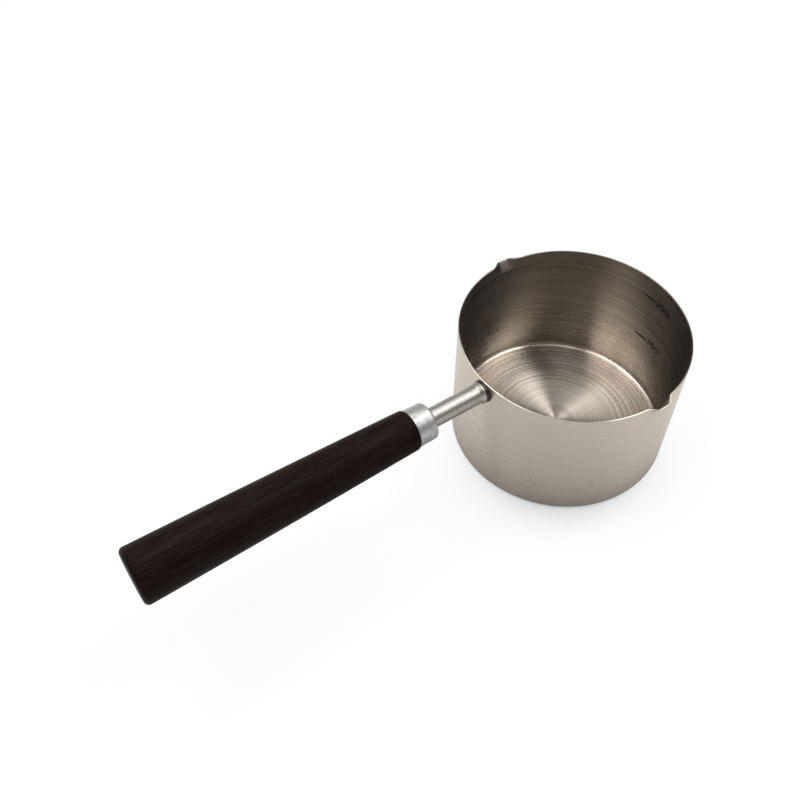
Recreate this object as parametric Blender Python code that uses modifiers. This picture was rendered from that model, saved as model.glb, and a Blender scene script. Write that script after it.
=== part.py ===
"""A small spouted saucepan: a drawn stainless cup on a straight handle of turned wood.

The origin is the centre of the base's underside. +Z is up and the handle points along -X.
The handle's pieces are turned about one axis, which starts where it meets the bowl's wall. That axis passes
a little to the -Y side of the bowl's own.
"""

import math

import bmesh
import bpy

# Bowl, one cup drawn from sheet
BOWL_DIAMETER = 0.080
BOWL_HEIGHT = 0.0512
SHEET = 0.0006
CORNER_RADIUS = 0.0021

# Pour lips, pressed out of the rim on both sides, at azimuths counted from +X
LIP_AZIMUTHS = (math.radians(-86.5), math.radians(88.5))
LIP_REACH = 0.0020
LIP_WIDTH = 0.0115
LIP_NOSE = 0.0030
LIP_DROP = 0.005
LIP_DIP = 0.0005
LIP_CURVE = 1.4
LIP_NARROWING = 0.35

# Neck tube and the weld that holds it
JOINT_BELOW_RIM = 0.0043
HANDLE_OFFSET = 0.0014
HANDLE_RISE = math.radians(0.4)
TUBE_DIAMETER = 0.0068
TUBE_WALL = 0.0008
MOUTH_FLARE = 0.0005
MOUTH_FLARE_LENGTH = 0.0020
MOUTH_STANDOFF = 0.0012
BEAD_SPREAD = 0.0002
NECK_LENGTH = 0.0220

# Ferrule, a drawn collar over the front of the grip
FERRULE_LENGTH = 0.0072
FERRULE_DIAMETER = 0.0131
FERRULE_DRAFT = 0.0002
FERRULE_WALL = 0.0008
FERRULE_EDGE = 0.0011

# Grip, turned wood
GRIP_LENGTH = 0.0955
GRIP_STEP = 0.00045
GRIP_BELLY = 0.00012
BUTT_DIAMETER = 0.0185
BUTT_EDGE = 0.0017
SHOULDER_EDGE = 0.0005
SPIGOT_CHAMFER = 0.0005

# Hidden fixing
SOCKET_DEPTH = 0.0140
PLUG_LENGTH = 0.0120
STUD_DIAMETER = 0.0040
STUD_LENGTH = 0.0340
STUD_CHAMFER = 0.0005
PILOT_CONE = 0.0015

# Clearance between touching pieces
FIT = 0.0003

# Fineness
CORNER_STEPS = 5
EDGE_STEPS = 4
GRIP_STEPS = 7
LIP_COLUMNS = 16
SIDE_COLUMNS = 36
WALL_ROWS = 3
LIP_ROWS = 7
LIP_ROW_CROWDING = 1.3
TURNED_SIDES = 48
CUTTER_SIDES = 128
SHARP_ANGLE = math.radians(35)
MERGE_DISTANCE = 0.00001

# Sizes that follow from the ones above
RIM_RADIUS = BOWL_DIAMETER / 2
LIP_START = BOWL_HEIGHT - LIP_DROP
JOINT_HEIGHT = BOWL_HEIGHT - JOINT_BELOW_RIM
TUBE_RADIUS = TUBE_DIAMETER / 2
BORE_RADIUS = TUBE_RADIUS - TUBE_WALL
MOUTH_RADIUS = TUBE_RADIUS + MOUTH_FLARE
BEAD_RADIUS = MOUTH_RADIUS + BEAD_SPREAD
FERRULE_FRONT = NECK_LENGTH
GRIP_FRONT = FERRULE_FRONT + FERRULE_LENGTH + FIT
TUBE_END = GRIP_FRONT + SOCKET_DEPTH
CAVITY_RADIUS = FERRULE_DIAMETER / 2 - FERRULE_DRAFT - FERRULE_WALL


def finish(name, colour, roughness, metallic):
    """Material of a piece, from its colour, roughness and metallic value."""
    material = bpy.data.materials.new(name)
    material.use_nodes = True
    shader = material.node_tree.nodes["Principled BSDF"]
    shader.inputs["Base Color"].default_value = (*colour, 1.0)
    shader.inputs["Roughness"].default_value = roughness
    shader.inputs["Metallic"].default_value = metallic
    material.diffuse_color = (*colour, 1.0)
    return material


def shade(data):
    """Smooth shading with the sharp edges kept."""
    data.shade_smooth()
    data.set_sharp_from_angle(angle=SHARP_ANGLE)


def settle(obj):
    """Give an object the mesh that its modifiers make, and shade it."""
    bpy.context.view_layer.update()
    evaluated = obj.evaluated_get(bpy.context.evaluated_depsgraph_get())
    made = bpy.data.meshes.new_from_object(evaluated)
    obj.modifiers.clear()
    rough = obj.data
    obj.data = made
    bpy.data.meshes.remove(rough)
    made.name = obj.name
    shade(made)


def new_collection(name):
    """Collection linked to the scene."""
    collection = bpy.data.collections.new(name)
    bpy.context.scene.collection.children.link(collection)
    return collection


def new_object(name, mesh, collection):
    """Object in a collection, from a bmesh that it uses up."""
    data = bpy.data.meshes.new(name)
    mesh.to_mesh(data)
    mesh.free()
    obj = bpy.data.objects.new(name, data)
    collection.objects.link(obj)
    return obj


def arc(centre, radius, start, end, steps):
    """Points of (radius, height) on an arc, from one angle to another, in radians."""
    points = []
    for step in range(steps + 1):
        angle = start + (end - start) * step / steps
        points.append((centre[0] + radius * math.cos(angle), centre[1] + radius * math.sin(angle)))
    return points


def cup_section(inset):
    """Section of the cup from floor to rim as (radius, height), set in from the outside by a thickness."""
    centre = (RIM_RADIUS - CORNER_RADIUS, CORNER_RADIUS)
    section = arc(centre, CORNER_RADIUS - inset, -math.pi / 2, 0.0, CORNER_STEPS)
    plain = LIP_START - CORNER_RADIUS
    heights = [CORNER_RADIUS + plain * row / WALL_ROWS for row in range(1, WALL_ROWS + 1)]
    # Rows close up towards the rim, where the lips bend most
    for row in range(1, LIP_ROWS + 1):
        heights.append(BOWL_HEIGHT - LIP_DROP * (1 - row / LIP_ROWS) ** LIP_ROW_CROWDING)
    section += [(RIM_RADIUS - inset, height) for height in heights]
    return section


def lip_share(azimuth, height):
    """Share of a lip's full reach at an azimuth and a height: 1 at its nose on the rim, 0 on the plain wall."""
    depth = (BOWL_HEIGHT - height) / LIP_DROP
    if depth >= 1:
        return 0.0
    off_centre = min(abs(math.remainder(azimuth - lip, 2 * math.pi)) for lip in LIP_AZIMUTHS) * RIM_RADIUS
    narrowing = 1 - LIP_NARROWING * depth
    nose = LIP_NOSE / 2 * narrowing
    edge = LIP_WIDTH / 2 * narrowing
    across = min(max((edge - off_centre) / (edge - nose), 0.0), 1.0)
    return (1 - depth) ** LIP_CURVE * (1 - math.cos(math.pi * across)) / 2


def bowl_azimuths():
    """Azimuths round the bowl, close together across the two lips and wider elsewhere."""
    half_lip = LIP_WIDTH / 2 / RIM_RADIUS
    azimuths = []
    for lip, next_lip in zip(LIP_AZIMUTHS, (LIP_AZIMUTHS[1], LIP_AZIMUTHS[0] + 2 * math.pi)):
        azimuths += [lip + half_lip * (2 * i / LIP_COLUMNS - 1) for i in range(LIP_COLUMNS)]
        plain = next_lip - lip - 2 * half_lip
        azimuths += [lip + half_lip + plain * i / SIDE_COLUMNS for i in range(SIDE_COLUMNS)]
    return azimuths


def ring_of_points(mesh, radius, height, azimuths):
    """One ring of the bowl, pushed out and slightly down where the lips are."""
    ring = []
    for azimuth in azimuths:
        share = lip_share(azimuth, height)
        reach = radius + LIP_REACH * share
        level = height - LIP_DIP * share
        ring.append(mesh.verts.new((reach * math.cos(azimuth), reach * math.sin(azimuth), level)))
    return ring


def make_bowl(collection, material):
    """Loft the cup through rings that change from round at the wall to lipped at the rim."""
    azimuths = bowl_azimuths()
    outside = cup_section(0.0)
    inside = cup_section(SHEET)
    mesh = bmesh.new()
    rings = [ring_of_points(mesh, radius, height, azimuths) for radius, height in outside + inside[::-1]]
    count = len(azimuths)
    for lower, upper in zip(rings, rings[1:]):
        for i in range(count):
            j = (i + 1) % count
            mesh.faces.new((lower[i], lower[j], upper[j], upper[i]))
    mesh.faces.new(rings[0][::-1])
    mesh.faces.new(rings[-1])
    bowl = new_object("bowl", mesh, collection)
    bowl.data.materials.append(material)
    shade(bowl.data)
    return bowl


def turned(name, profile, front, parent, collection, material, closed=False):
    """Turn a profile of (radius, distance) about the handle's axis, starting at a distance along it.

    The profile runs from the rear to the front down its outer side. A closed one is a ring.
    """
    data = bpy.data.meshes.new(name)
    count = len(profile)
    edges = [(i, i + 1) for i in range(count - 1)]
    if closed:
        edges.append((count - 1, 0))
    data.from_pydata([(radius, 0.0, distance) for radius, distance in profile], edges, [])
    obj = bpy.data.objects.new(name, data)
    collection.objects.link(obj)
    obj.parent = parent
    obj.location = (0.0, 0.0, front)
    screw = obj.modifiers.new("Turn", "SCREW")
    screw.axis = "Z"
    screw.steps = TURNED_SIDES
    screw.render_steps = TURNED_SIDES
    screw.use_merge_vertices = True
    screw.merge_threshold = MERGE_DISTANCE
    settle(obj)
    obj.data.materials.append(material)
    return obj


def make_handle_axis(collection):
    """Empty on the wall under the rim, whose +Z runs out along the handle and +X points up."""
    axis = bpy.data.objects.new("handle_axis", None)
    axis.empty_display_size = NECK_LENGTH
    collection.objects.link(axis)
    joint_reach = math.sqrt(RIM_RADIUS**2 - HANDLE_OFFSET**2)
    axis.location = (-joint_reach, -HANDLE_OFFSET, JOINT_HEIGHT)
    axis.rotation_euler = (0.0, HANDLE_RISE - math.pi / 2, 0.0)
    return axis


def make_wall_cutter(collection):
    """Cylinder that follows the bowl's wall at the fitting clearance, to cope the weld bead."""
    mesh = bmesh.new()
    bmesh.ops.create_cone(
        mesh,
        cap_ends=True,
        segments=CUTTER_SIDES,
        radius1=RIM_RADIUS + FIT,
        radius2=RIM_RADIUS + FIT,
        depth=4 * BEAD_RADIUS,
    )
    cutter = new_object("wall_cutter", mesh, collection)
    cutter.location = (0.0, 0.0, JOINT_HEIGHT)
    cutter.hide_render = True
    cutter.display_type = "WIRE"
    return cutter


def make_weld_bead(axis, cutter, collection, material):
    """Ring of weld between the tube's mouth and the wall: a hollow fillet outside, coped to the wall.

    Its blank runs into the bowl by its own radius, and the cutter trims that off.
    """
    top = MOUTH_STANDOFF - FIT
    profile = [(BORE_RADIUS, top)]
    for step in range(EDGE_STEPS + 1):
        angle = math.pi / 2 * step / EDGE_STEPS
        profile.append((MOUTH_RADIUS + BEAD_SPREAD * (1 - math.cos(angle)), top * (1 - math.sin(angle))))
    profile += [(BEAD_RADIUS, -BEAD_RADIUS), (BORE_RADIUS, -BEAD_RADIUS)]
    bead = turned("weld_bead", profile, 0.0, axis, collection, material, closed=True)
    cut = bead.modifiers.new("Cope", "BOOLEAN")
    cut.operation = "DIFFERENCE"
    cut.object = cutter
    settle(bead)
    return bead


def make_neck_tube(axis, collection, material):
    """Tube from its flared mouth at the bowl, through the ferrule, into the grip's socket.

    The flare sweeps out on an arc whose radius is the flare's length.
    """
    length = TUBE_END - MOUTH_STANDOFF
    sweep_centre = (TUBE_RADIUS + MOUTH_FLARE_LENGTH, MOUTH_FLARE_LENGTH)
    sweep = math.acos(1 - MOUTH_FLARE / MOUTH_FLARE_LENGTH)
    profile = [(BORE_RADIUS, length), (TUBE_RADIUS, length)]
    profile += arc(sweep_centre, MOUTH_FLARE_LENGTH, math.pi, math.pi + sweep, EDGE_STEPS)
    profile += [(MOUTH_RADIUS, 0.0), (BORE_RADIUS, 0.0)]
    return turned("neck_tube", profile, MOUTH_STANDOFF, axis, collection, material, closed=True)


def make_threaded_stud(axis, collection, material):
    """Plug in the tube's rear end that runs on as a thinner stud into the wood."""
    plug_radius = BORE_RADIUS - FIT
    stud_radius = STUD_DIAMETER / 2
    length = PLUG_LENGTH + STUD_LENGTH
    profile = [
        (0.0, length),
        (stud_radius - STUD_CHAMFER, length),
        (stud_radius, length - STUD_CHAMFER),
        (stud_radius, PLUG_LENGTH),
        (plug_radius, PLUG_LENGTH),
        (plug_radius, STUD_CHAMFER),
        (plug_radius - STUD_CHAMFER, 0.0),
        (0.0, 0.0),
    ]
    return turned("threaded_stud", profile, TUBE_END - PLUG_LENGTH, axis, collection, material)


def make_ferrule(axis, collection, material):
    """Drawn collar: a skirt over the grip's spigot and a front face with a hole for the tube."""
    rear_radius = FERRULE_DIAMETER / 2
    front_radius = rear_radius - FERRULE_DRAFT
    profile = [(CAVITY_RADIUS, FERRULE_LENGTH), (rear_radius, FERRULE_LENGTH)]
    profile += arc((front_radius - FERRULE_EDGE, FERRULE_EDGE), FERRULE_EDGE, 0.0, -math.pi / 2, EDGE_STEPS)
    profile += [
        (TUBE_RADIUS + FIT, 0.0),
        (TUBE_RADIUS + FIT, FERRULE_WALL),
        (CAVITY_RADIUS, FERRULE_WALL),
    ]
    return turned("ferrule", profile, FERRULE_FRONT, axis, collection, material, closed=True)


def grip_outline():
    """Outer side of the grip as (radius, distance from its front), from the butt to the shoulder.

    The straight taper swells by a slight belly, a parabola that is full at half the length.
    """
    front_radius = FERRULE_DIAMETER / 2 + GRIP_STEP
    butt_radius = BUTT_DIAMETER / 2
    start = SHOULDER_EDGE
    end = GRIP_LENGTH - BUTT_EDGE
    outline = arc((butt_radius - BUTT_EDGE, end), BUTT_EDGE, math.pi / 2, 0.0, EDGE_STEPS)
    for step in range(1, GRIP_STEPS):
        share = 1 - step / GRIP_STEPS
        belly = GRIP_BELLY * (1 - (2 * share - 1) ** 2)
        radius = front_radius + (butt_radius - front_radius) * share + belly
        outline.append((radius, start + (end - start) * share))
    outline += arc((front_radius - SHOULDER_EDGE, start), SHOULDER_EDGE, 0.0, -math.pi / 2, EDGE_STEPS)
    return outline


def make_grip(axis, collection, material):
    """Wooden grip with a spigot inside the ferrule, a socket for the tube and a pilot for the stud."""
    spigot_radius = CAVITY_RADIUS - FIT
    spigot_face = FERRULE_FRONT + FERRULE_WALL + FIT - GRIP_FRONT
    socket_radius = TUBE_RADIUS + FIT
    socket_end = SOCKET_DEPTH + FIT
    pilot_radius = STUD_DIAMETER / 2 + FIT
    pilot_end = SOCKET_DEPTH + STUD_LENGTH + FIT
    profile = [(0.0, GRIP_LENGTH)]
    profile += grip_outline()
    profile += [
        (spigot_radius, 0.0),
        (spigot_radius, spigot_face + SPIGOT_CHAMFER),
        (spigot_radius - SPIGOT_CHAMFER, spigot_face),
        (socket_radius, spigot_face),
        (socket_radius, socket_end),
        (pilot_radius, socket_end),
        (pilot_radius, pilot_end),
        (0.0, pilot_end + PILOT_CONE),
    ]
    return turned("grip", profile, GRIP_FRONT, axis, collection, material)


def main():
    """Build the saucepan in an empty scene."""
    for obj in list(bpy.data.objects):
        bpy.data.objects.remove(obj, do_unlink=True)
    pan = new_collection("spouted_saucepan")
    cutters = new_collection("cutters")

    brushed_steel = finish("brushed_steel", (0.62, 0.60, 0.57), 0.32, 1.0)
    polished_steel = finish("polished_steel", (0.72, 0.70, 0.67), 0.16, 1.0)
    weld_steel = finish("weld_steel", (0.20, 0.18, 0.16), 0.45, 1.0)
    matte_aluminium = finish("matte_aluminium", (0.66, 0.66, 0.64), 0.42, 1.0)
    dark_wood = finish("dark_wood", (0.035, 0.022, 0.016), 0.42, 0.0)
    plain_steel = finish("plain_steel", (0.45, 0.45, 0.46), 0.35, 1.0)

    make_bowl(pan, brushed_steel)
    axis = make_handle_axis(pan)
    cutter = make_wall_cutter(cutters)
    make_weld_bead(axis, cutter, pan, weld_steel)
    make_neck_tube(axis, pan, polished_steel)
    make_threaded_stud(axis, pan, plain_steel)
    make_ferrule(axis, pan, matte_aluminium)
    make_grip(axis, pan, dark_wood)


main()
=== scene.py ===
"""Looks of a small spouted saucepan: brushed steel bowl, welded neck tube, pale ferrule and dark wooden grip.

Every piece is a surface worked out as arrays of points, in metres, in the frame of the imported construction:
the origin is the centre of the base's underside, +Z is up and the handle points along -X.
"""

import math
from collections import namedtuple

import bpy
import numpy as np
from mathutils import Matrix, Vector


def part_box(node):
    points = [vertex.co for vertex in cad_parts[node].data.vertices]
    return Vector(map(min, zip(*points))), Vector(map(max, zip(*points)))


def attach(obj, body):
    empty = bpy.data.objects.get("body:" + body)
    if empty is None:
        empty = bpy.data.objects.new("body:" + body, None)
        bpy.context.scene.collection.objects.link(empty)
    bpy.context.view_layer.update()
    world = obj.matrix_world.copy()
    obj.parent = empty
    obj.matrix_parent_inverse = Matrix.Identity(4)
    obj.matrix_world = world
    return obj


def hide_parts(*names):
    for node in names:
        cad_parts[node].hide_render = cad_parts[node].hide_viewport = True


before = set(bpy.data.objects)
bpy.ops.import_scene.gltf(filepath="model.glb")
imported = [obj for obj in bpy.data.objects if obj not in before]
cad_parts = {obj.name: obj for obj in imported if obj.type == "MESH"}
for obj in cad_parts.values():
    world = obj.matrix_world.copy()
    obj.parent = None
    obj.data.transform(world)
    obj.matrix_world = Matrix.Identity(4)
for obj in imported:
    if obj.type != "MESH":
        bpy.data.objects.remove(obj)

bl_info = {
    "name": "Spouted saucepan",
    "version": (1, 0, 0),
    "blender": (4, 5, 0),
    "location": "3D View > Sidebar > Saucepan",
    "description": "Builds the visible pieces of a small spouted saucepan and the stage it stands on",
    "category": "Add Mesh",
}

BODY = "root"
BOWL_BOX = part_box("bowl")
FERRULE_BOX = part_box("ferrule")
SHARP_ANGLE = math.radians(40)

# Two points of a profile that lie closer together than this are one.
REPEAT = 1e-7

# Columns of points once round each piece; the bowl has so many across a lip and on each side between the lips.
LIP_COLUMNS = 72
SIDE_COLUMNS = 150
WELD_COLUMNS = 240
TUBE_COLUMNS = 128
HANDLE_COLUMNS = 160

# Height of the weld's ripples, and how far its foot is sunk into the wall.
RIPPLE = 0.00006
WELD_SUNK = 0.0002

# How deep the marks' strips reach into the wall, how far they stand proud of it, how much further their corners may
# stand off where the path turns, and the share of a figure's width that a 1 takes.
MARK_SUNK = 0.00012
MARK_PROUD = 0.00002
MITRE = 1.6
NARROW_FIGURE = 0.45

# Levels marked on the wall: figures, height, both ends of the tick, start of the figures and how far the figures'
# feet lie below the tick. Distances run to the right along the wall from the side opposite the handle.
Level = namedtuple("Level", "figures height tick start drop")
LEVELS = (
    Level("200", 0.0430, (-0.00475, 0.00080), 0.00135, 0.00115),
    Level("100", 0.0230, (-0.00425, 0.00165), 0.00235, 0.00115),
)

# Softboxes round the pan: name, turn about it and rise above the table in degrees, width, height and power.
LAMP_DISTANCE = 1.2
SOFTBOXES = (
    ("right_softbox_a", 316.0, 61.0, 0.43, 0.41, 2.07),
    ("right_softbox_b", 343.0, 63.0, 0.43, 0.43, 2.25),
    ("right_softbox_c", 10.0, 61.0, 0.43, 0.43, 2.15),
    ("left_softbox_a", 66.0, 62.0, 0.41, 0.41, 1.60),
    ("left_softbox_b", 96.0, 60.0, 0.41, 0.48, 1.75),
    ("left_softbox_c", 126.0, 62.0, 0.41, 0.43, 1.85),
    ("left_softbox_d", 156.0, 62.0, 0.41, 0.38, 1.70),
    ("left_softbox_e", 183.0, 60.0, 0.30, 0.31, 1.45),
    ("top_softbox", 0.0, 90.0, 0.48, 0.48, 1.66),
)

# Two sets of grooves round the bowl: grooves to the metre, radius of the circle on which the noise is read in a
# turn, detail of the noise, and the set's share of the mixture.
GrooveSet = namedtuple("GrooveSet", "across along detail share")
FINE_GROOVES = GrooveSet(2300.0, 0.5, 0.0, 0.4)
BROAD_GROOVES = GrooveSet(1050.0, 0.2, 1.0, 0.6)

# Low and high end of the mixture, and the factors of the steel's colour and the roughness that go with them.
GROOVE_ENDS = (0.36, 0.64)
BRUSHED_FACTORS = (1.16, 1.24)
TURNED_FACTORS = (1.00, 1.44)
GROOVE_ROUGHNESS = (0.235, 0.27)

# Where the steel is rougher: two distances from the axis, or two heights, and the roughness's factor at each.
CENTRE_ROUGHER = (0.004, 0.028, 1.5, 1.0)
WALL_ROUGHER = (0.002, 0.030, 1.0, 1.16)

# Length of section past the rim's top over which the brushed finish gives way to the turned one.
RIM_BLEND = 0.0002

# Painted shade and highlight of the turned inside, by share of the way from the floor's centre out and up to the rim.
# Painted shade towards the floor's centre, a painted highlight on the fillet, painted shade deepening up the wall.
PAINTED_INSIDE_SHADES = ((0.09, 0.62), (0.33, 0.93), (0.41, 0.93), (0.422, 1.00), (0.455, 1.00), (0.466, 0.74), (0.95, 0.35))

# Low and high end of the noise in satin metal, and the factors of its roughness that go with them.
CLOUD_ENDS = (0.3, 0.7)
CLOUD_ROUGHNESS = (1.15, 0.9)

# Grains of satin metal to the metre, and their height.
GRAIN = 9000.0
GRAIN_HEIGHT = 0.00002

# Streaks and pores of the wood to the metre, along the grip and in the two directions across it.
STREAKS = (60.0, 1050.0, 1050.0)
PORES = (250.0, 2400.0, 2400.0)

# Low and high end of the noise for the wood's tone, its gloss and its pores, with the roughness and the depth of
# the pores that go with them, how much the streaks stand up beside the pores, and the relief's height.
TONE_ENDS = (0.32, 0.70)
WOOD_GLOSS = (0.3, 0.7, 0.58, 0.46)
PORE_DEPTH = (0.54, 0.66, 0.0, 0.85)
STREAK_RELIEF = 0.3
PORE_HEIGHT = 0.00008


def metres(name, description, default):
    """Property that holds a length, in metres."""
    return bpy.props.FloatProperty(name=name, description=description, default=default, unit="LENGTH")


def degrees(name, description, default):
    """Property that holds an angle, whose default is given in degrees."""
    return bpy.props.FloatProperty(
        name=name, description=description, default=math.radians(default), unit="ROTATION")


def number(name, description, default):
    """Property that holds a plain number."""
    return bpy.props.FloatProperty(name=name, description=description, default=default)


def rgb(name, description, default):
    """Property that holds a colour: linear red, green and blue."""
    return bpy.props.FloatVectorProperty(
        name=name, description=description, default=default, subtype="COLOR", min=0, max=1)


class BowlSizes(bpy.types.PropertyGroup):
    """Sizes of the drawn bowl and its pour lips."""

    height: metres("Height", "From the table to the rim", BOWL_BOX[1].z)
    radius: metres("Radius", "Outside radius of the rim", BOWL_BOX[1].x)
    sheet: metres("Sheet", "Thickness of the metal", 0.0006)
    corner: metres("Corner", "Outside radius between base and wall", 0.0021)
    edge: metres("Edge", "Rounding of the rim's two edges", 0.00022)
    right_lip: degrees("Right lip", "Turn of the -Y lip from +X", -86.5)
    left_lip: degrees("Left lip", "Turn of the +Y lip from +X", 88.5)
    lip_reach: metres("Lip reach", "How far a lip stands out at the rim", 0.0020)
    lip_dip: metres("Lip dip", "How far a lip's nose sinks below the rim", 0.0005)
    lip_width: metres("Lip width", "Width of a pour lip at the rim", 0.0115)
    lip_nose: metres("Lip nose", "Width of a lip's blunt nose", 0.0030)
    lip_drop: metres("Lip drop", "How far below the rim a lip starts", 0.005)
    lip_curve: number("Lip curve", "How suddenly a lip turns out towards the rim", 1.4)
    lip_narrowing: number("Lip narrowing", "Share of its width that a lip loses at its foot", 0.35)


class HandleSizes(bpy.types.PropertyGroup):
    """Sizes of the neck tube, the ferrule and the grip, along the handle's own axis."""

    below_rim: metres("Below rim", "Depth of the joint under the rim", 0.0043)
    offset: metres("Offset", "How far the handle's axis passes beside the bowl's", 0.0014)
    rise: degrees("Rise", "Slope of the handle", 0.4)
    tube: metres("Tube", "Outside radius of the neck tube", 0.0034)
    bore: metres("Bore", "Inside radius of the neck tube", 0.0026)
    flare: metres("Flare", "How far the tube's mouth spreads", 0.0005)
    flare_length: metres("Flare length", "Length over which the mouth spreads", 0.0020)
    standoff: metres("Standoff", "Width of the weld between wall and mouth", 0.0012)
    bead_spread: metres("Bead spread", "How far the weld stands out round the mouth", 0.0002)
    neck: metres("Neck", "From the wall to the ferrule", 0.0220)
    ferrule: metres("Ferrule", "Length of the ferrule", 0.0072)
    ferrule_radius: metres("Ferrule radius", "Outside radius at its rear", (FERRULE_BOX[1].y - FERRULE_BOX[0].y) / 2)
    ferrule_draft: metres("Ferrule draft", "How much it narrows to the front", 0.0002)
    ferrule_wall: metres("Ferrule wall", "Thickness of its metal", 0.0008)
    ferrule_edge: metres("Ferrule edge", "Rounding of its front edge", 0.0011)
    grip: metres("Grip", "Length of the wooden grip", 0.0955)
    grip_step: metres("Grip step", "How far the wood stands proud of the ferrule", 0.00045)
    grip_belly: metres("Grip belly", "Swelling of the taper at half length", 0.00012)
    butt: metres("Butt", "Radius at the grip's end", 0.00925)
    butt_edge: metres("Butt edge", "Rounding of the grip's end", 0.0017)
    shoulder_edge: metres("Shoulder edge", "Rounding where the wood meets the ferrule", 0.0005)
    socket: metres("Socket", "Depth of the tube in the wood", 0.0140)
    stud: metres("Stud", "Length of the stud beyond the tube", 0.0340)
    stud_radius: metres("Stud radius", "Radius of the stud", 0.0020)
    fit: metres("Fit", "Clearance between touching pieces", 0.0003)


class MarkSizes(bpy.types.PropertyGroup):
    """Sizes of the etched graduation marks."""

    stroke: metres("Stroke", "Width of a line", 0.00046)
    figure_width: metres("Figure width", "Width of a round figure", 0.0017)
    figure_height: metres("Figure height", "Height of a figure", 0.0025)
    figure_gap: metres("Figure gap", "Space between figures", 0.0008)


class Finish(bpy.types.PropertyGroup):
    """Colours of the finishes."""

    steel: rgb("Steel", "Brushed steel of the bowl", (0.57, 0.505, 0.435))
    tube: rgb("Tube", "Satin steel of the neck", (0.49, 0.465, 0.425))
    weld: rgb("Weld", "Dark bead at the joint", (0.075, 0.066, 0.057))
    ferrule: rgb("Ferrule", "Pale matte metal", (0.61, 0.605, 0.59))
    wood: rgb("Wood", "Lighter streaks of the wood", (0.0265, 0.0128, 0.0088))
    wood_dark: rgb("Dark wood", "Darker streaks of the wood", (0.0052, 0.0033, 0.0028))
    pore: rgb("Pore", "Pores of the wood", (0.006, 0.004, 0.004))
    stud: rgb("Stud", "Plain steel of the hidden stud", (0.45, 0.45, 0.46))
    mark: rgb("Mark", "Etched graduation marks", (0.007, 0.006, 0.005))
    floor: rgb("Floor", "Pale floor", (0.86, 0.86, 0.86))


class StageSettings(bpy.types.PropertyGroup):
    """Camera, lamps and floor."""

    camera_place: bpy.props.FloatVectorProperty(
        name="Camera", description="Where the camera stands", default=(-0.17201, -0.14942, 0.28792),
        subtype="TRANSLATION")
    heading: degrees("Heading", "Turn of the view about the upright axis", -33.755)
    elevation: degrees("Elevation", "How steeply the camera looks down", 51.386)
    roll: degrees("Roll", "Turn of the camera about its own axis", -0.033)
    focal_pixels: number("Focal length", "Focal length in pixels of the photograph's frame", 939.02)
    frame_pixels: bpy.props.IntProperty(
        name="Frame", description="Width of the photograph's frame in pixels", default=800)
    light: number("Light", "Brightness of the room around the softboxes", 0.005)
    horizon: number("Horizon", "Rise of the direction up to which metal sees the white surroundings", 0.5)
    lift: number("Lift", "Share of plain white in the floor that the camera and metal see", 0.8)
    white: number("White", "Brightness of that share, which makes up for the matte one", 1.07)
    shadow_reach: metres("Shadow reach", "How far from the pan its contact shadow fades", 0.022)
    mirrored_reach: metres("Mirrored reach", "How far from the pan its contact shadow fades in the metal", 0.09)
    shadow: number("Shadow", "Brightness of the darkest contact shadow to the camera", 0.35)
    shadow_span: number("Shadow span", "Openness over which the shadow brightens by a whole white", 0.8)
    shadow_tilt: degrees("Shadow tilt", "Lean from upright of the light that the shadow shuts out", 52)
    shadow_turn: degrees("Shadow turn", "Turn from +X of the side that light comes from", 50)
    mirrored_depth: number("Mirrored depth", "Power of the openness in the shadow that the metal mirrors", 1.7)
    near: metres("Near", "Distance up to which the floor is lit as a floor", 0.3)
    far: metres("Far", "Distance from which the floor is plain white, like a backdrop", 1.2)
    floor_reach: metres("Floor reach", "Distance from the bowl to the floor's sides", 8.0)


def arc(centre, radius, start, end, steps):
    """Points of (radius, height) at equal turns along an arc, from one angle to another."""
    angle = np.linspace(start, end, steps + 1)
    return np.stack([centre[0] + radius * np.cos(angle), centre[1] + radius * np.sin(angle)], axis=1)


def run(start, end, steps):
    """Points of (radius, height) at equal steps along a straight line."""
    return np.linspace(start, end, steps + 1)


def joined(*runs):
    """Runs of points set end to end, without the points that repeat where they meet."""
    points = np.concatenate([np.atleast_2d(part) for part in runs])
    apart = np.linalg.norm(np.diff(points, axis=0), axis=1) > REPEAT
    return points[np.concatenate([[True], apart])]


def new_object(name, data):
    """Object of a mesh, lamp or camera, put into the scene."""
    obj = bpy.data.objects.new(name, data)
    bpy.context.scene.collection.objects.link(obj)
    return obj


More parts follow.
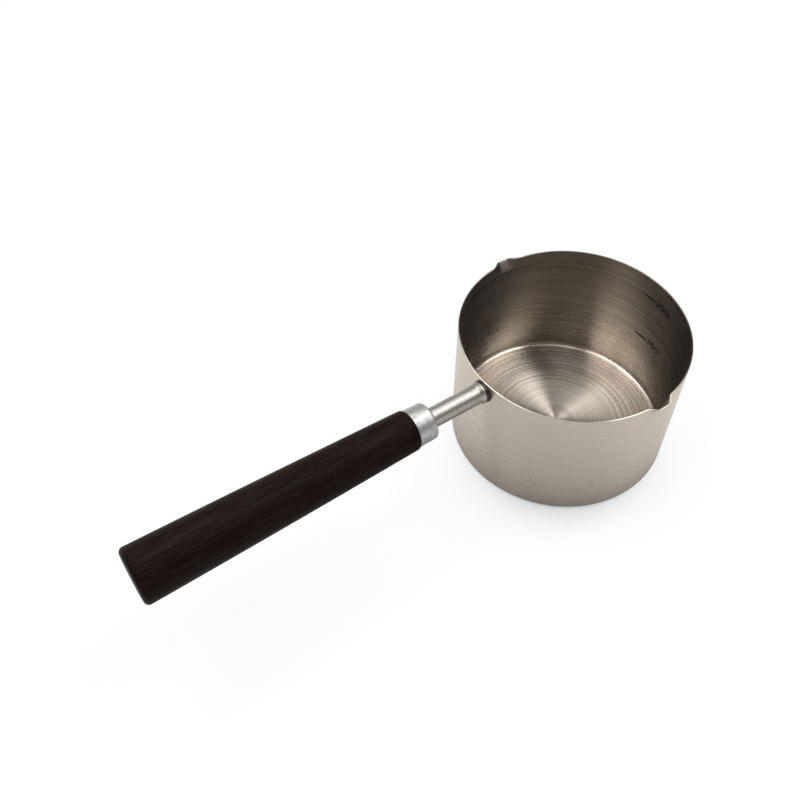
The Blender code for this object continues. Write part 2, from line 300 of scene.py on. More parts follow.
def surface(name, points, ring, material):
    """Mesh of a grid of points [column, row, 3] whose columns go once round.

    With ring, the rows close on themselves too, as round a tube's wall. Without it, the first and last rows lie
    on the axis and each becomes one point. The UV map's U follows the section and its V goes round.
    """
    columns, rows = points.shape[:2]
    column = np.arange(columns)
    after = (column + 1) % columns
    if ring:
        inner = points
        low = np.arange(rows)
        high = (low + 1) % rows
    else:
        inner = points[:, 1:-1]
        low = np.arange(rows - 3)
        high = low + 1
    height = inner.shape[1]
    here = column[:, None] * height
    there = after[:, None] * height
    quads = np.stack([here + low, there + low, there + high, here + high], axis=2).reshape(-1, 4)
    vertices = inner.reshape(-1, 3)
    length = np.linalg.norm(np.diff(points[0], axis=0), axis=1)
    along = np.concatenate([[0.0], np.cumsum(length)])
    turn = np.stack([column, column + 1], axis=1) / columns
    first_row = 0 if ring else 1
    along_low = along[low + first_row]
    whole = np.append(along, along[-1] + np.linalg.norm(points[0, 0] - points[0, -1]))
    along_high = whole[low + first_row + 1]
    quad_uv = np.empty((columns, len(low), 4, 2))
    quad_uv[:, :, (0, 3), 1] = turn[:, None, 0, None]
    quad_uv[:, :, (1, 2), 1] = turn[:, None, 1, None]
    quad_uv[:, :, (0, 1), 0] = along_low[None, :, None]
    quad_uv[:, :, (2, 3), 0] = along_high[None, :, None]
    faces = quads.tolist()
    uv = quad_uv.reshape(-1, 2)
    if not ring:
        poles = len(vertices) + np.arange(2)
        vertices = np.concatenate([vertices, points[:1, 0], points[:1, -1]])
        first, last = column * height, column * height + height - 1
        next_first, next_last = after * height, after * height + height - 1
        middle = turn.mean(axis=1)
        caps = ((poles[0], next_first, first, along[[0, 1, 1]], turn[:, 1], turn[:, 0]),
                (poles[1], last, next_last, along[[-1, -2, -2]], turn[:, 0], turn[:, 1]))
        for pole, second, third, cap_along, second_turn, third_turn in caps:
            faces += np.stack([np.full(columns, pole), second, third], axis=1).tolist()
            cap_turn = np.stack([middle, second_turn, third_turn], axis=1)
            cap_uv = np.stack([np.broadcast_to(cap_along, cap_turn.shape), cap_turn], axis=2)
            uv = np.concatenate([uv, cap_uv.reshape(-1, 2)])
    data = bpy.data.meshes.new(name)
    data.from_pydata(vertices.tolist(), [], faces)
    data.uv_layers.new(name="section").data.foreach_set("uv", uv.astype(np.float32).ravel())
    data.materials.append(material)
    data.shade_smooth()
    data.set_sharp_from_angle(angle=SHARP_ANGLE)
    return new_object(name, data)


def place(obj, slot, *nodes):
    """Let a piece ride on the body and stand for its nodes; its slot is not used."""
    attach(obj, BODY)
    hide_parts(*nodes)


def node(tree, kind, inputs=None, **settings):
    """Shader node with its settings and inputs; an input's value is a number, a colour or another node's socket."""
    made = tree.nodes.new(kind)
    for key, value in settings.items():
        setattr(made, key, value)
    for key, value in (inputs or {}).items():
        if isinstance(value, bpy.types.NodeSocket):
            tree.links.new(value, made.inputs[key])
        else:
            made.inputs[key].default_value = value
    return made


def calculate(tree, operation, *values):
    """Result of a Math node."""
    return node(tree, "ShaderNodeMath", dict(enumerate(values)), operation=operation).outputs[0]


def ramp(tree, factor, *stops):
    """Colour ramp from (position, colour) stops; returns its colour."""
    made = node(tree, "ShaderNodeValToRGB", {"Fac": factor})
    elements = made.color_ramp.elements
    for extra in stops[2:]:
        elements.new(extra[0])
    for element, (position, colour) in zip(elements, sorted(stops)):
        element.position = position
        element.color = (*colour, 1.0)
    return made.outputs["Color"]


def remap(tree, value, low, high, to_low, to_high):
    """Value moved from one range to another, held at its ends."""
    made = node(tree, "ShaderNodeMapRange",
                {"Value": value, "From Min": low, "From Max": high, "To Min": to_low, "To Max": to_high})
    return made.outputs["Result"]


def noise(tree, vector, scale, detail, **more):
    """Value of a noise texture."""
    inputs = {"Vector": vector, "Scale": scale, "Detail": detail, **more}
    return node(tree, "ShaderNodeTexNoise", inputs).outputs["Fac"]


def object_point(tree):
    """Place of the shaded point in metres, in the object's own coordinates."""
    return node(tree, "ShaderNodeTexCoord").outputs["Object"]


def split(tree, vector):
    """The outputs X, Y and Z of a vector."""
    return node(tree, "ShaderNodeSeparateXYZ", {0: vector}).outputs


def bumped(tree, relief, strength, distance):
    """Normal of a surface with a relief."""
    inputs = {"Height": relief, "Strength": strength, "Distance": distance}
    return node(tree, "ShaderNodeBump", inputs).outputs["Normal"]


def connect(tree, shader, **sockets):
    """Link sockets to the shader's inputs that have their names, with a space for an underscore."""
    for key, socket in sockets.items():
        tree.links.new(socket, shader.inputs[key.replace("_", " ")])


def new_material(name, **values):
    """Material whose shader's own sockets hold the values that are the same all over."""
    material = bpy.data.materials.new(name)
    material.use_nodes = True
    tree = material.node_tree
    shader = tree.nodes["Principled BSDF"]
    for key, value in values.items():
        shader.inputs[key.replace("_", " ")].default_value = value
    return material, tree, shader


def shaded(colour, factor):
    """Colour scaled by a factor, held below one."""
    return tuple(min(1.0, part * factor) for part in colour)


def grooves(tree, unit, height, kind):
    """Share of one set of grooves: noise drawn out round the bowl's axis, on wall and floor alike.

    Its coordinates are the unit direction from the axis, which changes slowly along a groove, and radius plus
    height, which grows steadily from the floor's centre to the rim and so counts the grooves.
    """
    parts = split(tree, unit)
    vector = node(tree, "ShaderNodeCombineXYZ", {
        "X": calculate(tree, "MULTIPLY", parts["X"], kind.along),
        "Y": calculate(tree, "MULTIPLY", parts["Y"], kind.along),
        "Z": calculate(tree, "MULTIPLY", height, kind.across),
    })
    return calculate(tree, "MULTIPLY", noise(tree, vector.outputs[0], 1.0, kind.detail, Roughness=0.65), kind.share)


def steel_material(finish, bowl):
    """Brushed steel: grooves round the bowl's axis vary its shade and gloss, and its shine spreads across them.

    The bowl is turned with a coarse abrasive inside and brushed finely outside, so the grooves' shades lie further
    apart inside, where the UV map's U is past the rim's top. The inside has painted shade as well, darker towards
    the floor's centre and darker still up the wall towards the rim, and a painted highlight on the fillet.
    """
    material, tree, shader = new_material("brushed_steel", Metallic=1.0, Anisotropic=1.0)
    parts = split(tree, object_point(tree))
    flat = node(tree, "ShaderNodeCombineXYZ", {"X": parts["X"], "Y": parts["Y"]})
    radius = node(tree, "ShaderNodeVectorMath", {0: flat.outputs[0]}, operation="LENGTH").outputs["Value"]
    unit = node(tree, "ShaderNodeVectorMath", {0: flat.outputs[0]}, operation="NORMALIZE").outputs["Vector"]
    height = calculate(tree, "ADD", radius, parts["Z"])
    mixed = calculate(tree, "ADD", grooves(tree, unit, height, FINE_GROOVES),
                      grooves(tree, unit, height, BROAD_GROOVES))

    def shades(factors):
        """Shades of the steel at the two ends of the mixed grooves."""
        return ramp(tree, mixed, *((end, shaded(finish.steel, factor)) for end, factor in zip(GROOVE_ENDS, factors)))

    along_section = remap(tree, height, 0.0, bowl.radius + bowl.height, 0.0, 1.0)
    # Painted shade and highlight of the inside, read along the section from the floor's centre to the rim.
    painted_light = ramp(tree, along_section, *((share, (shade,) * 3) for share, shade in PAINTED_INSIDE_SHADES))
    turned_shade = node(tree, "ShaderNodeMix", {"Factor": 1.0, "A": shades(TURNED_FACTORS), "B": painted_light},
                        data_type="RGBA", blend_type="MULTIPLY").outputs["Result"]
    # Length of the section from the base's centre, round the corner and up the outside, to the rim's top
    to_rim = bowl.radius - bowl.corner + bowl.height + (bowl.corner + bowl.edge) * (math.pi / 2 - 1)
    along = split(tree, node(tree, "ShaderNodeUVMap", uv_map="section").outputs["UV"])["X"]
    inside = remap(tree, along, to_rim, to_rim + RIM_BLEND, 0.0, 1.0)
    colour = node(tree, "ShaderNodeMix", {"Factor": inside, "A": shades(BRUSHED_FACTORS), "B": turned_shade},
                  data_type="RGBA").outputs["Result"]
    rougher = calculate(tree, "MAXIMUM", remap(tree, radius, *CENTRE_ROUGHER), remap(tree, parts["Z"], *WALL_ROUGHER))
    roughness = calculate(tree, "MULTIPLY", remap(tree, mixed, *GROOVE_ENDS, *GROOVE_ROUGHNESS), rougher)
    tangent = node(tree, "ShaderNodeTangent", direction_type="UV_MAP", uv_map="section").outputs["Tangent"]
    connect(tree, shader, Base_Color=colour, Roughness=roughness, Tangent=tangent)
    return material


def satin_material(name, colour, roughness, cloud_size, cloud_depth):
    """Satin metal with faint clouds in its colour and gloss, cloud_size clouds to the metre."""
    material, tree, shader = new_material(name, Metallic=1.0)
    point = object_point(tree)
    cloud = noise(tree, point, cloud_size, 4.0, Roughness=0.6)
    low, high = CLOUD_ENDS
    shade = ramp(tree, cloud, (low, shaded(colour, 1.0 - cloud_depth)), (high, shaded(colour, 1.0)))
    rough, glossy = (roughness * share for share in CLOUD_ROUGHNESS)
    normal = bumped(tree, noise(tree, point, GRAIN, 2.0), strength=0.15, distance=GRAIN_HEIGHT)
    connect(tree, shader, Base_Color=shade, Roughness=remap(tree, cloud, low, high, rough, glossy), Normal=normal)
    return material


def wood_material(finish, handle):
    """Dark open-grained wood: long streaks of brown and near-black, with fine dark pores along the grip."""
    material, tree, shader = new_material("dark_wood", Specular_IOR_Level=0.05)
    point = object_point(tree)
    levelled = node(tree, "ShaderNodeMapping", {"Vector": point, "Rotation": (0.0, -handle.rise, 0.0)}).outputs[0]
    streaks_at = node(tree, "ShaderNodeMapping", {"Vector": levelled, "Scale": STREAKS}).outputs[0]
    streak = noise(tree, streaks_at, 1.0, 5.0, Roughness=0.62, Distortion=0.3)
    pores_at = node(tree, "ShaderNodeMapping", {"Vector": levelled, "Scale": PORES}).outputs[0]
    pore = remap(tree, noise(tree, pores_at, 1.0, 2.0), *PORE_DEPTH)
    low, high = TONE_ENDS
    tone = ramp(tree, streak, (low, tuple(finish.wood_dark)), (high, tuple(finish.wood)))
    colour = node(tree, "ShaderNodeMix", {"Factor": pore, "A": tone, "B": (*finish.pore, 1.0)},
                  data_type="RGBA").outputs["Result"]
    relief = calculate(tree, "SUBTRACT", calculate(tree, "MULTIPLY", streak, STREAK_RELIEF), pore)
    normal = bumped(tree, relief, strength=0.3, distance=PORE_HEIGHT)
    connect(tree, shader, Base_Color=colour, Roughness=remap(tree, streak, *WOOD_GLOSS), Normal=normal)
    return material


def lip_share(bowl, azimuth, height):
    """Share of a lip's full reach: a smooth step from each edge to the nose, fading with depth below the rim."""
    depth = np.clip((bowl.height - height) / bowl.lip_drop, 0.0, 1.0)
    to_right = np.abs(azimuth - bowl.right_lip)
    to_left = np.abs(azimuth - bowl.left_lip)
    off_centre = np.minimum(np.minimum(to_right, 2 * math.pi - to_right), to_left) * bowl.radius
    narrowing = 1 - bowl.lip_narrowing * depth
    nose = bowl.lip_nose / 2 * narrowing
    edge = bowl.lip_width / 2 * narrowing
    across = np.clip((edge - off_centre) / (edge - nose), 0.0, 1.0)
    return (1 - depth) ** bowl.lip_curve * (1 - np.cos(math.pi * across)) / 2


def bowl_section(bowl):
    """Section of the sheet as (radius, height): underside, outer corner, wall, rim, wall inside, fillet and floor.

    The corner is an arc tangent to the flat base and to the straight wall. The inner side lies one sheet inside,
    so its fillet has the corner's centre, and an arc rounds each edge of the rim.
    """
    outside = bowl.radius
    inside = bowl.radius - bowl.sheet
    floor = bowl.sheet
    lip_start = bowl.height - bowl.lip_drop
    shoulder = bowl.height - bowl.edge
    centre = (outside - bowl.corner, bowl.corner)
    return joined(
        run((0.0, 0.0), (centre[0], 0.0), 8),
        arc(centre, bowl.corner, -math.pi / 2, 0.0, 14),
        run((outside, bowl.corner), (outside, lip_start), 10),
        run((outside, lip_start), (outside, shoulder), 26),
        arc((outside - bowl.edge, shoulder), bowl.edge, 0.0, math.pi / 2, 5),
        arc((inside + bowl.edge, shoulder), bowl.edge, math.pi / 2, math.pi, 5),
        run((inside, shoulder), (inside, lip_start), 26),
        run((inside, lip_start), (inside, bowl.corner), 10),
        arc(centre, bowl.corner - bowl.sheet, 0.0, -math.pi / 2, 14),
        run((centre[0], floor), (0.0, floor), 10),
    )


def bowl_azimuths(bowl, lip_columns, side_columns):
    """Azimuths once round, close together across the two lips and wider elsewhere."""
    half = bowl.lip_width / 2 / bowl.radius
    lip = np.linspace(-half, half, lip_columns, endpoint=False)
    return np.concatenate([
        lip + bowl.right_lip,
        np.linspace(bowl.right_lip + half, bowl.left_lip - half, side_columns, endpoint=False),
        lip + bowl.left_lip,
        np.linspace(bowl.left_lip + half, bowl.right_lip - half + 2 * math.pi, side_columns, endpoint=False),
    ])


def drawn_bowl(bowl):
    """Points of the bowl: its section carried round the axis, pushed out and slightly down where the lips are."""
    section = bowl_section(bowl)
    azimuth = bowl_azimuths(bowl, LIP_COLUMNS, SIDE_COLUMNS)[:, None]
    radius, height = section[None, :, 0], section[None, :, 1]
    share = lip_share(bowl, azimuth, height)
    reach = radius + bowl.lip_reach * share
    return np.stack([reach * np.cos(azimuth), reach * np.sin(azimuth), height - bowl.lip_dip * share], axis=2)


def handle_matrix(bowl, handle):
    """Turn and place of the handle: its own Z runs out along it and its own X points up."""
    reach = math.sqrt(bowl.radius ** 2 - handle.offset ** 2)
    root = Vector((-reach, -handle.offset, bowl.height - handle.below_rim))
    return Matrix.Translation(root) @ Matrix.Rotation(handle.rise - math.pi / 2, 4, "Y")


def on_handle(matrix, angle, radius, distance):
    """Points at a turn about the handle's axis, a radius from it and a distance along it."""
    local = np.stack(np.broadcast_arrays(radius * np.cos(angle), radius * np.sin(angle), distance), axis=2)
    return local @ np.array(matrix.to_3x3()).T + np.array(matrix.translation)


def turned(profile, front, matrix, columns):
    """Points of a profile of (radius, distance) turned about the handle's axis and set at a distance along it."""
    angle = np.linspace(0, 2 * math.pi, columns, endpoint=False)[:, None]
    return on_handle(matrix, angle, profile[None, :, 0], profile[None, :, 1] + front)


def tube_profile(handle):
    """Wall of the tube: straight outside, swept out at its mouth on an arc, and bored through."""
    end = handle.neck + handle.ferrule + handle.fit + handle.socket - handle.standoff
    mouth = handle.tube + handle.flare
    sweep = math.acos(1 - handle.flare / handle.flare_length)
    lip = 0.00012
    flare = arc((handle.tube + handle.flare_length, handle.flare_length), handle.flare_length,
                math.pi, math.pi + sweep, 12)
    return joined(
        run((handle.bore, end), (handle.tube, end), 2),
        run((handle.tube, end), (handle.tube, handle.flare_length), 24),
        flare,
        run(flare[-1], (mouth, lip), 2),
        arc((mouth - lip, lip), lip, 0.0, -math.pi / 2, 4),
        run((mouth - lip, 0.0), (handle.bore, 0.0), 3),
        run((handle.bore, 0.0), (handle.bore, end), 8),
    )


def ferrule_profile(handle):
    """Wall of the ferrule: a skirt with a slight draft, a rounded front edge and a hole for the tube."""
    rear = handle.ferrule_radius
    front = rear - handle.ferrule_draft
    edge = handle.ferrule_edge
    lip = 0.00015
    hole = handle.tube + handle.fit
    cavity = rear - handle.ferrule_draft - handle.ferrule_wall
    return joined(
        run((cavity, handle.ferrule), (rear - lip, handle.ferrule), 2),
        arc((rear - lip, handle.ferrule - lip), lip, math.pi / 2, 0.0, 4),
        run((rear, handle.ferrule - lip), (front, edge), 8),
        arc((front - edge, edge), edge, 0.0, -math.pi / 2, 12),
        run((front - edge, 0.0), (hole + lip, 0.0), 4),
        arc((hole + lip, lip), lip, -math.pi / 2, -math.pi, 4),
        run((hole, lip), (hole, handle.ferrule_wall), 2),
        run((hole, handle.ferrule_wall), (cavity, handle.ferrule_wall), 3),
        run((cavity, handle.ferrule_wall), (cavity, handle.ferrule), 4),
    )


def grip_profile(handle):
    """Section of the grip: flat butt, long taper with a slight belly, rounded shoulder, spigot, socket and pilot."""
    front = handle.ferrule_radius + handle.grip_step
    start = handle.shoulder_edge
    end = handle.grip - handle.butt_edge
    share = np.linspace(1.0, 0.0, 41)
    side = np.stack([front + (handle.butt - front) * share + handle.grip_belly * (1 - (2 * share - 1) ** 2),
                     start + (end - start) * share], axis=1)
    cavity = handle.ferrule_radius - handle.ferrule_draft - handle.ferrule_wall
    spigot = cavity - handle.fit
    face = handle.ferrule_wall - handle.ferrule
    socket = handle.tube + handle.fit
    depth = handle.socket + handle.fit
    pilot = handle.stud_radius + handle.fit
    pilot_end = handle.socket + handle.stud + handle.fit
    return joined(
        run((0.0, handle.grip), (handle.butt - handle.butt_edge, handle.grip), 8),
        arc((handle.butt - handle.butt_edge, end), handle.butt_edge, math.pi / 2, 0.0, 12),
        side,
        arc((front - start, start), start, 0.0, -math.pi / 2, 6),
        run((front - start, 0.0), (spigot, 0.0), 2),
        run((spigot, 0.0), (spigot, face), 4),
        run((spigot, face), (socket, face), 2),
        run((socket, face), (socket, depth), 8),
        run((socket, depth), (pilot, depth), 2),
        run((pilot, depth), (pilot, pilot_end), 8),
        run((pilot, pilot_end), (0.0, pilot_end + pilot), 3),
    )


def weld_seam(bowl, handle, matrix, columns):
    """Points of the weld bead: a hollow fillet between the tube's mouth and the wall, with ripples round it.

    At each turn about the handle's axis, the bead's foot lies where a line along the handle meets the wall: the
    root of the wall's circle at the line's sideways place, less the axis's own, less what the slope takes up.
    The sum of two sine waves ripples the surface, and fades at the bead's two edges.
    """
    angle = np.linspace(0, 2 * math.pi, columns, endpoint=False)[:, None]
    share = np.linspace(0.0, 1.0, 11)[None, :]
    ripple = RIPPLE * (np.sin(17 * angle) + 0.6 * np.sin(29 * angle + 1.0)) * np.sin(math.pi * share)
    outer = handle.tube + handle.flare + handle.bead_spread * (1 - np.cos(math.pi / 2 * share)) + ripple
    side = outer[:, -1:] * np.sin(angle)
    up = outer[:, -1:] * np.cos(angle)
    reach = math.sqrt(bowl.radius ** 2 - handle.offset ** 2)
    wall = np.sqrt(bowl.radius ** 2 - (side - handle.offset) ** 2) - reach
    foot = (wall + up * math.sin(handle.rise)) / math.cos(handle.rise) - WELD_SUNK
    flank = handle.standoff + (foot - handle.standoff) * np.sin(math.pi / 2 * share)
    bore = np.full_like(angle, handle.bore)
    radius = np.concatenate([bore, outer, bore], axis=1)
    distance = np.concatenate([np.full_like(angle, handle.standoff), flank, foot], axis=1)
    return on_handle(matrix, angle, radius, distance)


def figure_path(figure, width, height):
    """Centre line of a figure, from its lower left corner.

    0 is an ellipse, 1 a flag and a stem, and 2 an arc of an ellipse about a centre in the upper part, and a foot.
    """
    if figure == "0":
        angle = np.linspace(0, 2 * math.pi, 32, endpoint=False)
        return np.stack([width / 2 * (1 + np.cos(angle)), height / 2 * (1 + np.sin(angle))], axis=1)
    if figure == "1":
        flag = 0.78
        return np.array([(0.0, height * flag), (width / 2, height), (width / 2, 0.0)])
    centre = 0.72
    bow = arc((0.0, 0.0), 1.0, math.radians(165), math.radians(-35), 18)
    bow = bow * np.array([width / 2, height * (1 - centre)]) + np.array([width / 2, height * centre])
    return np.concatenate([bow, [(0.0, 0.0), (width, 0.0)]])


def ribbon(path, width, closed):
    """Ring of four corners at each point of a flat path: left and right of it, deep in the wall and just proud.

    The corners stand off the path along the mean of the normals of the two runs that meet at the point, a little
    further where the path turns, so that the ribbon keeps its width.
    """
    step = np.diff(np.concatenate([path, path[:1]]) if closed else path, axis=0)
    normal = np.stack([-step[:, 1], step[:, 0]], axis=1) / np.linalg.norm(step, axis=1)[:, None]
    before = np.roll(normal, 1, axis=0) if closed else np.concatenate([normal[:1], normal])
    after = normal if closed else np.concatenate([normal, normal[-1:]])
    mean = before + after
    length = np.linalg.norm(mean, axis=1)[:, None]
    offset = mean / length * width / 2 * np.minimum(2 / length, MITRE)
    left, right = path + offset, path - offset
    flat = np.stack([left, right, right, left], axis=1)
    lift = np.broadcast_to(np.array([-MARK_SUNK, -MARK_SUNK, MARK_PROUD, MARK_PROUD])[None, :, None],
                           (len(path), 4, 1))
    return np.concatenate([flat, lift], axis=2)


def ribbon_faces(count, closed, first):
    """Quads round a ribbon of count rings whose corners are numbered from first on, with caps on an open one."""
    ring = np.arange(count if closed else count - 1)
    here, there = ring * 4, (ring + 1) % count * 4
    side = np.arange(4)
    follow = (side + 1) % 4
    quads = np.stack([here[:, None] + side, here[:, None] + follow, there[:, None] + follow, there[:, None] + side],
                     axis=2).reshape(-1, 4)
    if not closed:
        last = (count - 1) * 4
        quads = np.concatenate([quads, [[3, 2, 1, 0], [last, last + 1, last + 2, last + 3]]])
    return quads + first


def graduation_strokes(marks):
    """Paths of the marks on the unrolled wall as (path, closed): for each level a tick and the figures beside it.

    The first measure runs to the right as seen from inside, the second up from the base.
    """
    strokes = []
    for level in LEVELS:
        strokes.append((np.array([(level.tick[0], level.height), (level.tick[1], level.height)]), False))
        start = level.start
        for figure in level.figures:
            width = marks.figure_width * (NARROW_FIGURE if figure == "1" else 1.0)
            path = figure_path(figure, width, marks.figure_height)
            strokes.append((path + np.array([start, level.height - level.drop]), figure == "0"))
            start += width + marks.figure_gap
    return strokes


def marks_mesh(bowl, marks, material):
    """Mesh of all the marks, rolled on to the inside wall: right becomes a turn clockwise, lift a smaller radius."""
    inside = bowl.radius - bowl.sheet
    vertices, faces, first = [], [], 0
    for path, closed in graduation_strokes(marks):
        corners = ribbon(path, marks.stroke, closed).reshape(-1, 3)
        turn = -corners[:, 0] / inside
        radius = inside - corners[:, 2]
        vertices.append(np.stack([radius * np.cos(turn), radius * np.sin(turn), corners[:, 1]], axis=1))
        faces.append(ribbon_faces(len(path), closed, first))
        first += len(corners)
    data = bpy.data.meshes.new("graduation_marks")
    data.from_pydata(np.concatenate(vertices).tolist(), [], np.concatenate(faces).tolist())
    data.materials.append(material)
    return new_object("graduation_marks", data)


def mark_material(finish):
    """Dark matte etching, slightly uneven in its depth of colour."""
    material, tree, shader = new_material("etched_mark", Roughness=0.6, Specular_IOR_Level=0.2)
    cloud = noise(tree, object_point(tree), 2500.0, 2.0)
    shade = ramp(tree, cloud, (0.35, shaded(finish.mark, 0.7)), (0.65, shaded(finish.mark, 1.5)))
    connect(tree, shader, Base_Color=shade)
    return material


class PAN_OT_bowl(bpy.types.Operator):
    """Make the brushed steel bowl with its two pour lips."""

    bl_idname = "pan.bowl"
    bl_label = "Bowl"

    def execute(self, context):
        scene = context.scene
        material = steel_material(scene.pan_finish, scene.pan_bowl)
        place(surface("bowl_shell", drawn_bowl(scene.pan_bowl), False, material), "bowl_steel", "bowl")
        return {"FINISHED"}


class PAN_OT_marks(bpy.types.Operator):
    """Make the etched graduation marks on the wall opposite the handle."""

    bl_idname = "pan.marks"
    bl_label = "Graduation marks"

    def execute(self, context):
        scene = context.scene
        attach(marks_mesh(scene.pan_bowl, scene.pan_marks, mark_material(scene.pan_finish)), BODY)
        return {"FINISHED"}


class PAN_OT_weld(bpy.types.Operator):
    """Make the weld bead between the bowl and the tube's mouth."""

    bl_idname = "pan.weld"
    bl_label = "Weld"

    def execute(self, context):
        scene = context.scene
        matrix = handle_matrix(scene.pan_bowl, scene.pan_handle)
        points = weld_seam(scene.pan_bowl, scene.pan_handle, matrix, WELD_COLUMNS)
        material = satin_material("weld_metal", scene.pan_finish.weld,
                                  roughness=0.4, cloud_size=1500.0, cloud_depth=0.4)
        place(surface("weld_ring", points, True, material), "weld", "weld_bead")
        return {"FINISHED"}


class PAN_OT_neck(bpy.types.Operator):
    """Make the neck tube and give the stud inside it a plain steel finish."""

    bl_idname = "pan.neck"
    bl_label = "Neck tube"

    def execute(self, context):
        scene = context.scene
        handle = scene.pan_handle
        matrix = handle_matrix(scene.pan_bowl, handle)
        points = turned(tube_profile(handle), handle.standoff, matrix, TUBE_COLUMNS)
        material = satin_material("satin_steel", scene.pan_finish.tube,
                                  roughness=0.42, cloud_size=900.0, cloud_depth=0.24)
        place(surface("handle_tube", points, True, material), "neck_steel", "neck_tube")
        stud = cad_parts["threaded_stud"]
        stud.data.materials.clear()
        stud.data.materials.append(satin_material("stud_steel", scene.pan_finish.stud,
                                                  roughness=0.35, cloud_size=400.0, cloud_depth=0.05))
        return {"FINISHED"}


class PAN_OT_ferrule(bpy.types.Operator):
    """Make the pale ferrule over the front of the grip."""

    bl_idname = "pan.ferrule"
    bl_label = "Ferrule"

    def execute(self, context):
        scene = context.scene
        handle = scene.pan_handle
        matrix = handle_matrix(scene.pan_bowl, handle)
        points = turned(ferrule_profile(handle), handle.neck, matrix, HANDLE_COLUMNS)
        material = satin_material("matte_metal", scene.pan_finish.ferrule,
                                  roughness=0.48, cloud_size=520.0, cloud_depth=0.34)
        place(surface("ferrule_collar", points, True, material), "ferrule_metal", "ferrule")
        return {"FINISHED"}


class PAN_OT_grip(bpy.types.Operator):
    """Make the dark wooden grip."""

    bl_idname = "pan.grip"
    bl_label = "Grip"

    def execute(self, context):
        scene = context.scene
        handle = scene.pan_handle
        matrix = handle_matrix(scene.pan_bowl, handle)
        front = handle.neck + handle.ferrule + handle.fit
        points = turned(grip_profile(handle), front, matrix, HANDLE_COLUMNS)
        material = wood_material(scene.pan_finish, handle)
        place(surface("wooden_grip", points, False, material), "grip_wood", "grip")
        return {"FINISHED"}


def softbox(name, azimuth, elevation, width, height, power):
    """Rectangular lamp that faces the pan from a direction, given in degrees round it and above the table."""
    lamp = bpy.data.lights.new(name, "AREA")
    lamp.shape = "RECTANGLE"
    lamp.size = width
    lamp.size_y = height
    lamp.energy = power
    obj = new_object(name, lamp)
    turn, rise = math.radians(azimuth), math.radians(elevation)
    away = Vector((math.cos(turn) * math.cos(rise), math.sin(turn) * math.cos(rise), math.sin(rise)))
    obj.location = away * LAMP_DISTANCE
    obj.rotation_euler = away.to_track_quat("Z", "Y").to_euler()


def floor_material(stage, finish):
    """Pale matte floor, brought up to white where the camera or metal sees it, but for the pan's shadow.

    The white share darkens where the pan stands close over the floor, more so in the metal than to the camera.
    Its openness is taken about a direction that leans over, so the shadow is deeper on the side away from that.
    The matte share keeps the lamps' own soft shadows.
    """
    material = bpy.data.materials.new("pale_floor")
    material.use_nodes = True
    tree = material.node_tree
    tree.nodes.clear()
    path = node(tree, "ShaderNodeLightPath")
    seen = calculate(tree, "MAXIMUM", path.outputs["Is Camera Ray"], path.outputs["Is Glossy Ray"])
    seen = calculate(tree, "MAXIMUM", seen, path.outputs["Is Transmission Ray"])
    tilt, turn = stage.shadow_tilt, stage.shadow_turn
    skyward = (math.sin(tilt) * math.cos(turn), math.sin(tilt) * math.sin(turn), math.cos(tilt))
    towards = node(tree, "ShaderNodeCombineXYZ", dict(zip("XYZ", skyward))).outputs[0]
    mirrored = path.outputs["Is Glossy Ray"]
    reach = remap(tree, mirrored, 0.0, 1.0, stage.shadow_reach, stage.mirrored_reach)
    openness = node(tree, "ShaderNodeAmbientOcclusion", {"Distance": reach, "Normal": towards},
                    samples=4).outputs["AO"]
    seen_shade = calculate(tree, "ADD", stage.shadow, calculate(tree, "MULTIPLY", openness, 1.0 / stage.shadow_span))
    mirrored_shade = calculate(tree, "POWER", openness, stage.mirrored_depth)
    shade = node(tree, "ShaderNodeMix", {"Factor": mirrored, "A": seen_shade, "B": mirrored_shade},
                 data_type="FLOAT").outputs["Result"]
    away = node(tree, "ShaderNodeVectorMath", {0: object_point(tree)}, operation="LENGTH").outputs["Value"]
    white = remap(tree, away, stage.near, stage.far, stage.white, 1.0)
    share = remap(tree, away, stage.near, stage.far, stage.lift, 1.0)
    strength = calculate(tree, "MULTIPLY", calculate(tree, "MINIMUM", shade, 1.0), white)
    matte = node(tree, "ShaderNodeBsdfDiffuse", {"Color": (*finish.floor, 1.0)})
    glow = node(tree, "ShaderNodeEmission", {"Color": (1.0, 1.0, 1.0, 1.0), "Strength": strength})
    mixed = node(tree, "ShaderNodeMixShader",
                 {0: calculate(tree, "MULTIPLY", seen, share), 1: matte.outputs[0], 2: glow.outputs[0]})
    output = node(tree, "ShaderNodeOutputMaterial")
    tree.links.new(mixed.outputs[0], output.inputs["Surface"])
    return material


def make_floor(stage, finish):
    """Flat square sheet at the height of the bowl's underside, centred below the bowl."""
    data = bpy.data.meshes.new("floor")
    reach = stage.floor_reach
    data.from_pydata([(-reach, -reach, 0.0), (reach, -reach, 0.0), (reach, reach, 0.0), (-reach, reach, 0.0)],
                     [], [(0, 1, 2, 3)])
    data.materials.append(floor_material(stage, finish))
    new_object("floor", data)


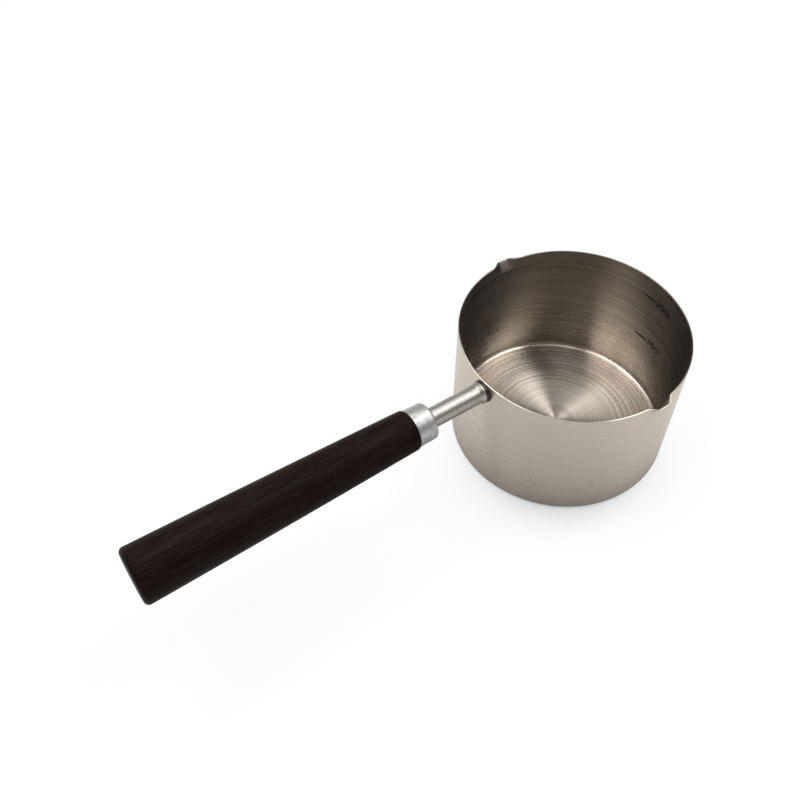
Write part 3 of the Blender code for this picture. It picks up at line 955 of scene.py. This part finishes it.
def make_world(stage):
    """Even grey room that the camera sees as white, and metal and glass too near the horizon."""
    world = bpy.data.worlds.new("room")
    bpy.context.scene.world = world
    world.use_nodes = True
    tree = world.node_tree
    tree.nodes.clear()
    path = node(tree, "ShaderNodeLightPath")
    mirrored = calculate(tree, "MAXIMUM", path.outputs["Is Glossy Ray"], path.outputs["Is Transmission Ray"])
    direction = node(tree, "ShaderNodeTexCoord").outputs["Generated"]
    upward = split(tree, direction)["Z"]
    horizon = remap(tree, upward, 0.0, stage.horizon, 1.0, 0.0)
    seen = calculate(tree, "MAXIMUM", path.outputs["Is Camera Ray"], calculate(tree, "MULTIPLY", mirrored, horizon))
    room = node(tree, "ShaderNodeBackground", {"Color": (1.0, 1.0, 1.0, 1.0), "Strength": stage.light})
    white = node(tree, "ShaderNodeBackground", {"Color": (1.0, 1.0, 1.0, 1.0), "Strength": 1.0})
    mixed = node(tree, "ShaderNodeMixShader", {0: seen, 1: room.outputs[0], 2: white.outputs[0]})
    output = node(tree, "ShaderNodeOutputWorld")
    tree.links.new(mixed.outputs[0], output.inputs["Surface"])


def make_camera(stage):
    """Camera at the photograph's viewpoint, turned about the upright axis, tipped down and rolled."""
    data = bpy.data.cameras.new("camera")
    data.sensor_width = 36.0
    data.lens = data.sensor_width * stage.focal_pixels / stage.frame_pixels
    data.clip_start = 0.01
    camera = new_object("camera", data)
    tip = math.pi / 2 - stage.elevation
    turn = Matrix.Rotation(stage.heading, 4, "Z") @ Matrix.Rotation(tip, 4, "X") @ Matrix.Rotation(stage.roll, 4, "Z")
    camera.matrix_world = Matrix.Translation(stage.camera_place) @ turn
    bpy.context.scene.camera = camera


class PAN_OT_stage(bpy.types.Operator):
    """Make the floor, the room, the softboxes and the camera."""

    bl_idname = "pan.stage"
    bl_label = "Stage"

    def execute(self, context):
        scene = context.scene
        make_floor(scene.pan_stage, scene.pan_finish)
        make_world(scene.pan_stage)
        for lamp in SOFTBOXES:
            softbox(*lamp)
        make_camera(scene.pan_stage)
        scene.view_settings.view_transform = "Standard"
        return {"FINISHED"}


class PAN_PT_pieces(bpy.types.Panel):
    """Lists the pieces and the stage."""

    bl_idname = "PAN_PT_pieces"
    bl_label = "Spouted saucepan"
    bl_space_type = "VIEW_3D"
    bl_region_type = "UI"
    bl_category = "Saucepan"

    def draw(self, context):
        for operator in OPERATORS:
            self.layout.operator(operator.bl_idname)


GROUPS = {"pan_bowl": BowlSizes, "pan_marks": MarkSizes, "pan_handle": HandleSizes, "pan_finish": Finish,
          "pan_stage": StageSettings}
OPERATORS = (PAN_OT_bowl, PAN_OT_marks, PAN_OT_weld, PAN_OT_neck, PAN_OT_ferrule, PAN_OT_grip, PAN_OT_stage)


def register():
    """Register every class and hang the property groups on the scene."""
    for cls in (*GROUPS.values(), *OPERATORS, PAN_PT_pieces):
        bpy.utils.register_class(cls)
    for name, group in GROUPS.items():
        setattr(bpy.types.Scene, name, bpy.props.PointerProperty(type=group))


def unregister():
    """Take the property groups off the scene and unregister every class."""
    for name in GROUPS:
        delattr(bpy.types.Scene, name)
    for cls in (PAN_PT_pieces, *reversed(OPERATORS), *reversed(list(GROUPS.values()))):
        bpy.utils.unregister_class(cls)


def main():
    """Build every piece in order."""
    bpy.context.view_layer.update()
    register()
    bpy.ops.pan.bowl()
    bpy.ops.pan.marks()
    bpy.ops.pan.weld()
    bpy.ops.pan.neck()
    bpy.ops.pan.ferrule()
    bpy.ops.pan.grip()
    bpy.ops.pan.stage()


if __name__ == "__main__":
    main()
